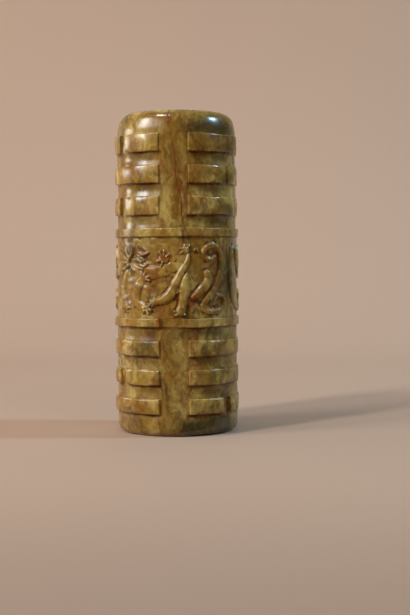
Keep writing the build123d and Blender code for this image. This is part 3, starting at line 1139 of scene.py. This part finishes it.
@dataclass
class DragonFrieze(Carving):
    """The two dragons, each on a thin panel that wraps half of the waist.

    The panel's sizes are millimetres of the drawing, and the blurs are cells of the panel's grid.
    """

    drawing: DragonDrawing = DragonDrawing()
    panel_length: float = 90.5
    panel_left_edge: float = -62.0
    panel_height: float = 37.0
    skin: float = 0.10 * MM
    overlap: float = 0.5 * MM
    columns: int = 366
    rows: int = 134
    edge_blur: float = 0.45
    hollow_blur: float = 4.0
    hollow_depth: float = 0.16 * MM
    crack_depth: float = 0.14 * MM
    slow_seed: int = 61
    quick_seed: int = 71
    # Dirt and painted shade in the hollows beside the strokes, broken up by slow patches.
    dirt_seed: int = 81
    dirt_fade: tuple[float, float] = (-1.3, 0.7)

    def build(self) -> list[bpy.types.Object]:
        """Both panels: the same drawing, a half turn apart, on ground that differs.

        Returns:
            The two pieces.
        """
        low, high = heights("lower_band")[1], heights("upper_band")[0]
        z = np.linspace(low - self.overlap, high + self.overlap, self.rows)[:, None]
        right = (self.panel_left_edge + np.linspace(0.0, self.panel_length, self.columns))[None, :]
        up = (z - low) / (high - low) * self.panel_height
        relief = soften(self.drawing.height(*np.broadcast_arrays(right, up)), self.edge_blur) * MM
        # Dirt and painted shade in the hollows: how far the relief lies below its blur.
        crevice = np.clip((soften(relief, self.hollow_blur) - relief) / self.hollow_depth, 0.0, 1.0)
        border = np.ones(relief.shape, dtype=bool)
        border[1:-1, 1:-1] = False
        pieces = []
        for place, node in enumerate(("front_dragon", "rear_dragon")):
            turn = np.pi * right / self.panel_length + place * np.pi
            uneven = HandCut(self.slow_seed + place, 7 * MM, 0.09 * MM).over(turn, z)
            uneven = uneven + HandCut(self.quick_seed + place, 3 * MM, 0.045 * MM).over(turn, z)
            patches = HandCut(self.dirt_seed + place, 6 * MM, 1.0).over(turn, z)
            line, _ = self.flaws.crack(turn, z)
            proud = self.skin + relief + uneven - self.crack_depth * line
            proud = np.where(border, -self.form.sunk, proud)
            dirt = crevice * smooth_step(patches, *self.dirt_fade)
            pieces.append(self.pillow(node, turn, z, proud, dirt))
        return pieces


class Wiring:
    """Adds nodes to a node tree and joins them."""

    # Numbers of a mix node's sockets for colours, which share their names with its other sockets
    MIX_SHARE, MIX_FIRST, MIX_SECOND, MIX_RESULT = 0, 6, 7, 2

    def __init__(self, tree: bpy.types.NodeTree) -> None:
        """Starts on a tree."""
        self.tree = tree

    def feed(self, node: bpy.types.Node, sources: Sources) -> None:
        """Joins inputs of a node to other sockets, or sets them to plain values.

        Args:
            node: the node.
            sources: a socket or a value for each input, by its name or number.
        """
        for name, source in sources.items():
            if isinstance(source, Socket):
                self.tree.links.new(source, node.inputs[name])
            else:
                node.inputs[name].default_value = source

    def add(self, kind: str, sources: Sources | None = None, **settings: object) -> bpy.types.Node:
        """A new node.

        Args:
            kind: its type.
            sources: what feeds its inputs, where that isn't left as it is.
            settings: its properties.

        Returns:
            The node.
        """
        node = self.tree.nodes.new(kind)
        for name, value in settings.items():
            setattr(node, name, value)
        self.feed(node, sources or {})
        return node

    def math(self, operation: str, first: object, second: object = 0.0) -> Socket:
        """The result of an operation on two values."""
        return self.add("ShaderNodeMath", {0: first, 1: second}, operation=operation).outputs[0]

    def shift(self, operation: str, first: object, second: object) -> Socket:
        """The result of an operation on two vectors."""
        return self.add("ShaderNodeVectorMath", {0: first, 1: second}, operation=operation).outputs[0]

    def mix(self, share: object, first: object, second: object, blend: str = "MIX") -> Socket:
        """Two colours blended by a share."""
        sources = {self.MIX_SHARE: share, self.MIX_FIRST: first, self.MIX_SECOND: second}
        return self.add("ShaderNodeMix", sources, data_type="RGBA", blend_type=blend).outputs[self.MIX_RESULT]

    def noise(
        self, vector: Socket, scale: object, detail: float, roughness: float = 0.55, output: str = "Fac"
    ) -> Socket:
        """A noise texture on a vector."""
        sources = {"Vector": vector, "Scale": scale, "Detail": detail, "Roughness": roughness}
        return self.add("ShaderNodeTexNoise", sources).outputs[output]

    def rise(self, value: Socket, low: float, high: object) -> Socket:
        """A smooth step from 0 at low to 1 at high."""
        sources = {"Value": value, "From Min": low, "From Max": high}
        return self.add("ShaderNodeMapRange", sources, interpolation_type="SMOOTHSTEP").outputs["Result"]

    def flow(self, vector: Socket, scale: float, reach: float, along: float) -> Socket:
        """Places bent by a slow noise and drawn out along the tube.

        Args:
            vector: the places.
            scale: the scale of the slow noise.
            reach: how far it bends them.
            along: the factor on their heights.

        Returns:
            The bent places.
        """
        slow = self.noise(vector, scale, detail=3.0, output="Color")
        aside = self.shift("SUBTRACT", slow, (0.5, 0.5, 0.5))
        bend = self.add("ShaderNodeVectorMath", {0: aside, "Scale": reach}, operation="SCALE").outputs[0]
        return self.shift("MULTIPLY", self.shift("ADD", vector, bend), (1.0, 1.0, along))


class SocketKind(Enum):
    """Kinds of group sockets."""

    VALUE = "NodeSocketFloat"
    COLOUR = "NodeSocketColor"
    VECTOR = "NodeSocketVector"


class Effect:
    """A shader node group with named sockets."""

    def __init__(self, name: str, inputs: dict[str, SocketKind], outputs: dict[str, SocketKind]) -> None:
        """Makes the group's tree and its sockets.

        Args:
            name: the group's name.
            inputs, outputs: the kinds of its sockets, by name.
        """
        self.tree = bpy.data.node_groups.new(name, "ShaderNodeTree")
        for direction, sockets in (("INPUT", inputs), ("OUTPUT", outputs)):
            for socket, kind in sockets.items():
                self.tree.interface.new_socket(socket, in_out=direction, socket_type=kind.value)
        self.wiring = Wiring(self.tree)
        self.given = self.wiring.add("NodeGroupInput").outputs
        self.result = self.wiring.add("NodeGroupOutput")

    def place(self, wiring: Wiring, **sources: object) -> bpy.types.Node:
        """Puts the group in a material, with its inputs named in lower case with underscores."""
        titled = {name.replace("_", " ").title(): source for name, source in sources.items()}
        return wiring.add("ShaderNodeGroup", titled, node_tree=self.tree)


def opaque(colour: Colour, shown: float = 1.0) -> tuple[float, float, float, float]:
    """A colour at the share that is shown of it, with full alpha."""
    return (*(shown * value for value in colour), 1.0)


def tone_effect() -> Effect:
    """The clouded ground colour of the stone.

    Noises on flowing places blend four tones. The cloud-and-shade mark draws the shade tone to its places, as
    dark clouds in the stone and as painted shade, and a fine noise darkens and lightens them a little.

    Returns:
        The group, with the tones as inputs.
    """
    tones = dict.fromkeys(("Olive", "Celadon", "Ochre", "Shade"), SocketKind.COLOUR)
    inputs = {"Vector": SocketKind.VECTOR, "Cloud": SocketKind.VALUE, **tones}
    effect = Effect("jade_tone", inputs, {"Color": SocketKind.COLOUR})
    wire, given = effect.wiring, effect.given
    flow = wire.flow(given["Vector"], scale=70.0, reach=0.018, along=0.4)
    warm_place = wire.shift("ADD", flow, (0.9, 0.5, 0.4))
    dusk_place = wire.shift("ADD", flow, (0.7, 0.4, 0.9))
    pale = wire.rise(wire.noise(flow, scale=95.0, detail=6.0, roughness=0.62), low=0.40, high=0.66)
    warm = wire.rise(wire.noise(warm_place, scale=150.0, detail=7.0, roughness=0.68), low=0.41, high=0.65)
    dusk = wire.noise(dusk_place, scale=80.0, detail=7.0, roughness=0.66)
    # Where the cloud-and-shade mark is set, the shade tone is painted shade as well as dark cloud in the
    # stone.
    gathered = wire.math("MULTIPLY", given["Cloud"], wire.rise(dusk, low=0.18, high=0.54))
    scattered = wire.math("MULTIPLY", wire.rise(dusk, low=0.48, high=0.65), 0.8)
    dark = wire.math("MAXIMUM", scattered, gathered)
    colour = given["Olive"]
    for share, strength, tone in ((pale, 0.9, "Celadon"), (warm, 0.8, "Ochre"), (dark, 0.92, "Shade")):
        colour = wire.mix(wire.math("MULTIPLY", share, strength), colour, given[tone])
    grain = wire.noise(flow, scale=420.0, detail=5.0, roughness=0.65)
    spans = {"From Min": 0.3, "From Max": 0.7, "To Min": 0.68, "To Max": 1.32}
    light = wire.add("ShaderNodeMapRange", {"Value": grain, **spans}).outputs["Result"]
    grey = wire.add("ShaderNodeCombineColor", dict.fromkeys((0, 1, 2), light)).outputs[0]
    wire.feed(effect.result, {"Color": wire.mix(1.0, colour, grey, "MULTIPLY")})
    return effect


def vein_effect() -> Effect:
    """Thin wandering veins: places where a noise is close to its middle value, broken up by a slow noise.

    Returns:
        The group, with the veins as a mask.
    """
    inputs = {"Vector": SocketKind.VECTOR, "Scale": SocketKind.VALUE, "Width": SocketKind.VALUE}
    effect = Effect("jade_veins", inputs, {"Mask": SocketKind.VALUE})
    wire, given = effect.wiring, effect.given
    flow = wire.flow(given["Vector"], scale=90.0, reach=0.012, along=0.6)
    wave = wire.noise(flow, given["Scale"], detail=4.0, roughness=0.5)
    away = wire.math("ABSOLUTE", wire.math("SUBTRACT", wave, 0.5))
    line = wire.math("SUBTRACT", 1.0, wire.rise(away, 0.0, given["Width"]))
    broken = wire.rise(wire.noise(given["Vector"], scale=60.0, detail=3.0), low=0.45, high=0.62)
    wire.feed(effect.result, {"Mask": wire.math("MULTIPLY", line, broken)})
    return effect


def soil_effect() -> Effect:
    """Rust, old dirt and painted shade on a colour.

    Rust tints the stone by its mark, broken up by noise. Dirt and painted shade fill the recesses and the
    places under the raised pieces by their mark, and the crack is darkest.

    Returns:
        The group, with the soiled and shaded colour and how dull the dirt and the painted shade make it.
    """
    marks = dict.fromkeys(("Crevice", "Crack", "Rust", "Dirt Amount"), SocketKind.VALUE)
    colours = dict.fromkeys(("Color", "Rust Color", "Dirt Color"), SocketKind.COLOUR)
    inputs = {"Vector": SocketKind.VECTOR, **colours, **marks}
    effect = Effect("jade_soil", inputs, {"Color": SocketKind.COLOUR, "Dull": SocketKind.VALUE})
    wire, given = effect.wiring, effect.given
    patchy = wire.noise(given["Vector"], scale=330.0, detail=4.0, roughness=0.6)
    rust = wire.math("MULTIPLY", given["Rust"], wire.rise(patchy, low=0.25, high=0.6))
    colour = wire.mix(wire.math("MAXIMUM", rust, given["Crack"]), given["Color"], given["Rust Color"])
    # Dirt and painted shade by their mark, broken up by noise.
    filled = wire.math("ADD", given["Crevice"], wire.math("MULTIPLY", patchy, 0.55))
    settled = wire.math("MULTIPLY", wire.rise(filled, low=0.55, high=1.25), given["Dirt Amount"])
    dirt = wire.math("MAXIMUM", settled, wire.math("MULTIPLY", given["Crack"], 0.45))
    wire.feed(effect.result, {"Color": wire.mix(dirt, colour, given["Dirt Color"]), "Dull": dirt})
    return effect


def polish_effect() -> Effect:
    """The gloss of the stone: smooth, with duller spots, duller under dirt and painted shade, and shallow
    pits as a height.

    Returns:
        The group, with roughness and height.
    """
    inputs = dict.fromkeys(("Dull", "Smooth", "Rough"), SocketKind.VALUE)
    outputs = dict.fromkeys(("Roughness", "Height"), SocketKind.VALUE)
    effect = Effect("jade_polish", {"Vector": SocketKind.VECTOR, **inputs}, outputs)
    wire, given = effect.wiring, effect.given
    spots = wire.rise(wire.noise(given["Vector"], scale=160.0, detail=5.0, roughness=0.6), low=0.4, high=0.7)
    worn = wire.math("ADD", wire.math("MULTIPLY", spots, 0.3), wire.math("MULTIPLY", given["Dull"], 0.15))
    span = wire.math("SUBTRACT", given["Rough"], given["Smooth"])
    amount = wire.math("MULTIPLY", wire.math("MINIMUM", worn, 1.0), span)
    pits = wire.rise(wire.noise(given["Vector"], scale=900.0, detail=3.0, roughness=0.5), low=0.28, high=0.42)
    swell = wire.noise(given["Vector"], scale=240.0, detail=2.0)
    height = wire.math("ADD", wire.math("MULTIPLY", pits, 0.35), swell)
    wire.feed(effect.result, {"Roughness": wire.math("ADD", given["Smooth"], amount), "Height": height})
    return effect


@dataclass(frozen=True)
class JadeFinish:
    """A jade surface: its tones, its veins and its gloss."""

    slot: Slot
    smooth: float
    shown: float
    rough: float = 0.5
    # How strongly the dirt-and-shade mark, dirt and painted shade together, darkens the tones.
    dirt: float = 0.9
    olive: Colour = linear(135, 104, 40)
    celadon: Colour = linear(182, 159, 91)
    ochre: Colour = linear(113, 72, 23)
    shade: Colour = linear(56, 50, 28)
    rust: Colour = linear(116, 48, 14)
    # The soil colour darkens both the dirt and the painted shade of the dirt-and-shade mark.
    soil: Colour = linear(92, 50, 14)
    vein_scale: float = 62.0
    vein_width: float = 0.035
    vein_strength: float = 0.65
    pit_strength: float = 0.35
    pit_depth: float = 0.06 * MM
    refraction: float = 1.61
    glow: float = 0.2
    glow_tint: Colour = (1.0, 0.75, 0.3)
    glow_depth: float = 1.6 * MM

    def material(self, effects: dict[str, Effect]) -> bpy.types.Material:
        """The finish as a material.

        Args:
            effects: the shared node groups, by name.

        Returns:
            The material.
        """
        material = bpy.data.materials.new(self.slot.value)
        material.use_nodes = True
        wire = Wiring(material.node_tree)
        place = wire.add("ShaderNodeTexCoord").outputs["Object"]
        marks = {}
        for mark in ("crevice", "crack", "rust", "cloud"):
            marks[mark] = wire.add("ShaderNodeAttribute", attribute_name=mark).outputs["Fac"]
        tones = {"olive": self.olive, "celadon": self.celadon, "ochre": self.ochre, "shade": self.shade}
        tones = {name: opaque(colour, self.shown) for name, colour in tones.items()}
        # The cloud-and-shade mark paints shade as well as dark clouds in the stone.
        tone = effects["tone"].place(wire, vector=place, cloud=marks["cloud"], **tones)
        veins = effects["veins"].place(wire, vector=place, scale=self.vein_scale, width=self.vein_width)
        russet = wire.math("MULTIPLY", veins.outputs["Mask"], self.vein_strength)
        # Rust, and the dirt and painted shade of the dirt-and-shade mark, on the tone.
        soil = effects["soil"].place(
            wire,
            vector=place,
            color=tone.outputs["Color"],
            rust_color=opaque(self.rust),
            dirt_color=opaque(self.soil),
            crevice=marks["crevice"],
            crack=marks["crack"],
            rust=wire.math("MAXIMUM", marks["rust"], russet),
            dirt_amount=self.dirt,
        )
        polish = effects["polish"].place(
            wire, vector=place, dull=soil.outputs["Dull"], smooth=self.smooth, rough=self.rough
        )
        pits = {
            "Height": polish.outputs["Height"], "Strength": self.pit_strength, "Distance": self.pit_depth
        }
        wire.feed(material.node_tree.nodes["Principled BSDF"], {
            "Base Color": soil.outputs["Color"],
            "Roughness": polish.outputs["Roughness"],
            "Normal": wire.add("ShaderNodeBump", pits).outputs["Normal"],
            "IOR": self.refraction,
            "Subsurface Weight": self.glow,
            "Subsurface Radius": self.glow_tint,
            "Subsurface Scale": self.glow_depth,
        })
        return material


@dataclass(frozen=True)
class Lamp:
    """A rectangular soft lamp.

    It shows in the polish if it is mirrored, and it lights the stone and the paper if it shines.
    """

    name: str
    place: Vector
    size: tuple[float, float]
    watts: float
    colour: Colour
    aim: Vector
    mirrored: bool = True
    shines: bool = True
    spread: float = 180.0

    def build(self) -> None:
        """Hangs the lamp with its face towards its aim."""
        light = bpy.data.lights.new(self.name, "AREA")
        light.shape = "RECTANGLE"
        light.size, light.size_y = self.size
        light.energy = self.watts
        light.color = self.colour
        light.spread = math.radians(self.spread)
        lamp = bpy.data.objects.new(self.name, light)
        lamp.location = self.place
        lamp.rotation_euler = (self.aim - self.place).to_track_quat("-Z", "Y").to_euler()
        lamp.visible_glossy = self.mirrored
        lamp.visible_diffuse = self.shines
        bpy.context.scene.collection.objects.link(lamp)


@dataclass(frozen=True)
class Studio:
    """The pale sweep that the tube stands on, its lamps and the camera."""

    height: float
    distance: float = 570.0 * MM
    azimuth: float = 3.0
    eye_level: float = 82.0 * MM
    roll: float = -0.33
    focal_pixels: float = 1190.0
    image_width: int = 410
    image_height: int = 615
    horizon_row: float = 258.0
    axis_column: float = 177.4
    sensor: float = 36.0
    clip: tuple[float, float] = (0.01, 20.0)
    half_width: float = 6.0
    front: float = -6.0
    near: float = -0.03
    bend: float = 0.45
    bend_steps: int = 33
    wall_depth: float = 0.80
    wall_height: float = 1.8
    backdrop: Colour = linear(175, 148, 129)
    dimmed: float = 0.74
    dim_reach: tuple[float, float] = (-0.34, -0.12)
    paper_roughness: float = 0.85
    paper_shine: float = 0.2
    room_colour: Colour = (1.0, 0.82, 0.62)
    room_strength: float = 0.08

    def paper(self) -> bpy.types.Material:
        """Matt paper, a little darker towards the camera by a smooth step along y.

        Returns:
            The material.
        """
        material = bpy.data.materials.new("pale_paper")
        material.use_nodes = True
        wire = Wiring(material.node_tree)
        place = wire.add("ShaderNodeTexCoord").outputs["Object"]
        depth = wire.add("ShaderNodeSeparateXYZ", {"Vector": place}).outputs["Y"]
        lit = wire.rise(depth, *self.dim_reach)
        wire.feed(material.node_tree.nodes["Principled BSDF"], {
            "Base Color": wire.mix(lit, opaque(self.backdrop, self.dimmed), opaque(self.backdrop)),
            "Roughness": self.paper_roughness,
            "Specular IOR Level": self.paper_shine,
        })
        return material

    def strip(self, name: str, y: Array, z: Array, paper: bpy.types.Material) -> bpy.types.Object:
        """A strip of paper with one section, carried across the studio.

        Args:
            name: its name.
            y, z: its section.
            paper: its material.

        Returns:
            The strip.
        """
        x = np.array([-self.half_width, self.half_width])
        points = np.stack(np.broadcast_arrays(x[None, :], y[:, None], z[:, None]), axis=-1).reshape(-1, 3)
        index = np.arange(len(points)).reshape(len(y), len(x))
        strip = smooth_object(name, points, grid_quads(index))
        strip.data.materials.append(paper)
        return strip

    def sweep(self) -> None:
        """The seamless paper: a near floor that the polish doesn't mirror, a floor, a bend and a wall."""
        paper = self.paper()
        arc = np.linspace(0, np.pi / 2, self.bend_steps)
        bend_y = self.wall_depth - self.bend + self.bend * np.sin(arc)
        y = np.concatenate(([self.near], bend_y, [self.wall_depth]))
        z = np.concatenate(([0.0], self.bend - self.bend * np.cos(arc), [self.wall_height]))
        self.strip("sweep", y, z, paper)
        near_floor = self.strip("near_floor", np.array([self.front, self.near]), np.zeros(2), paper)
        near_floor.visible_glossy = False

    def around(self, azimuth: float, elevation: float, distance: float) -> Vector:
        """A place round the middle of the tube.

        Args:
            azimuth: its turn from the camera's side, in degrees, growing to the right.
            elevation: its rise, in degrees.
            distance: how far away it is.

        Returns:
            The place.
        """
        turn, rise = math.radians(azimuth + self.azimuth), math.radians(elevation)
        level = distance * math.cos(rise)
        up = self.height / 2 + distance * math.sin(rise)
        return Vector((level * math.sin(turn), -level * math.cos(turn), up))

    def lamps(self) -> list[Lamp]:
        """The lamps.

        Most of the light comes from the left: a key, a broad softbox and a low strip. A small window stands
        on the right, and weak lamps fill from above and from the front. Two washes light the paper behind the
        tube. A spark and a card on the left are only mirrored.

        Returns:
            The lamps, in the order in which they are hung.
        """
        tube, behind = Vector((0.0, 0.0, self.height / 2)), Vector((0.10, 0.50, 0.0))
        return [
            Lamp("left_key", self.around(-47.0, 39.0, 1.80), size=(0.16, 0.42), watts=17.5,
                 colour=(1.0, 0.99, 0.95), aim=tube, mirrored=False),
            Lamp("left_softbox", self.around(-69.0, 27.0, 1.70), size=(0.50, 0.70), watts=15.8,
                 colour=(1.0, 1.0, 1.0), aim=tube),
            Lamp("left_strip", self.around(-105.0, 9.0, 1.20), size=(0.36, 0.18), watts=1.8,
                 colour=(1.0, 0.97, 0.92), aim=tube),
            Lamp("right_window", self.around(86.0, 36.0, 1.10), size=(0.10, 0.10), watts=6.8,
                 colour=(0.42, 0.75, 1.0), aim=tube),
            Lamp("overhead", self.around(4.0, 50.0, 1.90), size=(0.90, 0.72), watts=2.8,
                 colour=(1.0, 0.95, 0.88), aim=tube, mirrored=False),
            Lamp("front_fill", self.around(32.0, 26.0, 2.20), size=(1.00, 0.80), watts=5.6,
                 colour=(1.0, 0.92, 0.78), aim=tube, mirrored=False),
            Lamp("left_wash", Vector((-0.80, 0.25, 0.75)), size=(0.60, 0.60), watts=1.0,
                 colour=(1.0, 0.92, 0.82), aim=behind, mirrored=False),
            Lamp("back_wash", Vector((0.10, 0.46, 1.50)), size=(0.30, 0.30), watts=0.42,
                 colour=(0.86, 0.96, 1.0), aim=behind, mirrored=False, spread=50.0),
            Lamp("left_spark", self.around(-50.0, 62.0, 1.80), size=(0.22, 0.22), watts=9.0,
                 colour=(1.0, 0.97, 0.92), aim=tube, shines=False),
            Lamp("left_card", self.around(-46.0, 26.0, 1.75), size=(0.90, 0.60), watts=4.2,
                 colour=(1.0, 0.98, 0.94), aim=tube, shines=False),
        ]

    def light(self) -> None:
        """Hangs the lamps and sets the dim warm room, which the polish doesn't mirror."""
        for lamp in self.lamps():
            lamp.build()
        world = bpy.data.worlds.new("room")
        world.use_nodes = True
        room = {"Color": opaque(self.room_colour), "Strength": self.room_strength}
        Wiring(world.node_tree).feed(world.node_tree.nodes["Background"], room)
        bpy.context.scene.world = world
        world.cycles_visibility.glossy = False

    def camera(self) -> None:
        """The camera, turned so that the tube's axis and the eye level fall in their places in the image."""
        data = bpy.data.cameras.new("camera")
        data.sensor_width = self.sensor
        data.lens = self.focal_pixels * self.sensor / self.image_height
        data.clip_start, data.clip_end = self.clip
        tilt = math.atan((self.image_height / 2 - self.horizon_row) / self.focal_pixels)
        pan = math.atan((self.image_width / 2 - self.axis_column) / self.focal_pixels)
        camera = bpy.data.objects.new("camera", data)
        turn = math.radians(self.azimuth)
        camera.location = (self.distance * math.sin(turn), -self.distance * math.cos(turn), self.eye_level)
        aim = Euler((math.pi / 2 - tilt, 0.0, turn - pan)).to_matrix()
        aim = aim @ Matrix.Rotation(math.radians(self.roll), 3, "Z")
        camera.rotation_euler = aim.to_euler()
        bpy.context.scene.collection.objects.link(camera)
        bpy.context.scene.camera = camera

    def build(self) -> None:
        """The whole studio, shown by the standard view."""
        self.sweep()
        self.light()
        self.camera()
        bpy.context.scene.view_settings.view_transform = "Standard"


def main() -> None:
    """Builds and dresses the tube, then sets up the studio."""
    logging.basicConfig(level=logging.INFO, format="%(name)s: %(message)s")
    form = TubeForm(height=heights("tube_wall")[1])
    flaws = Flaws(form)
    effects = {
        "tone": tone_effect(), "veins": vein_effect(), "soil": soil_effect(), "polish": polish_effect()
    }
    finishes = (
        JadeFinish(Slot.POLISHED, smooth=0.20, shown=1.0), JadeFinish(Slot.CARVED, smooth=0.22, shown=1.13)
    )
    materials = {finish.slot: finish.material(effects) for finish in finishes}
    bars = all_bars(form)
    carvings = (
        TubeWall(form, flaws, Slot.POLISHED, bars),
        PlainBands(form, flaws, Slot.CARVED),
        RaisedBars(form, flaws, Slot.CARVED, bars),
        DragonFrieze(form, flaws, Slot.CARVED),
    )
    for carving in carvings:
        carving.dress(carving.build(), materials[carving.slot])
    Studio(form.height).build()


if __name__ == "__main__":
    main()
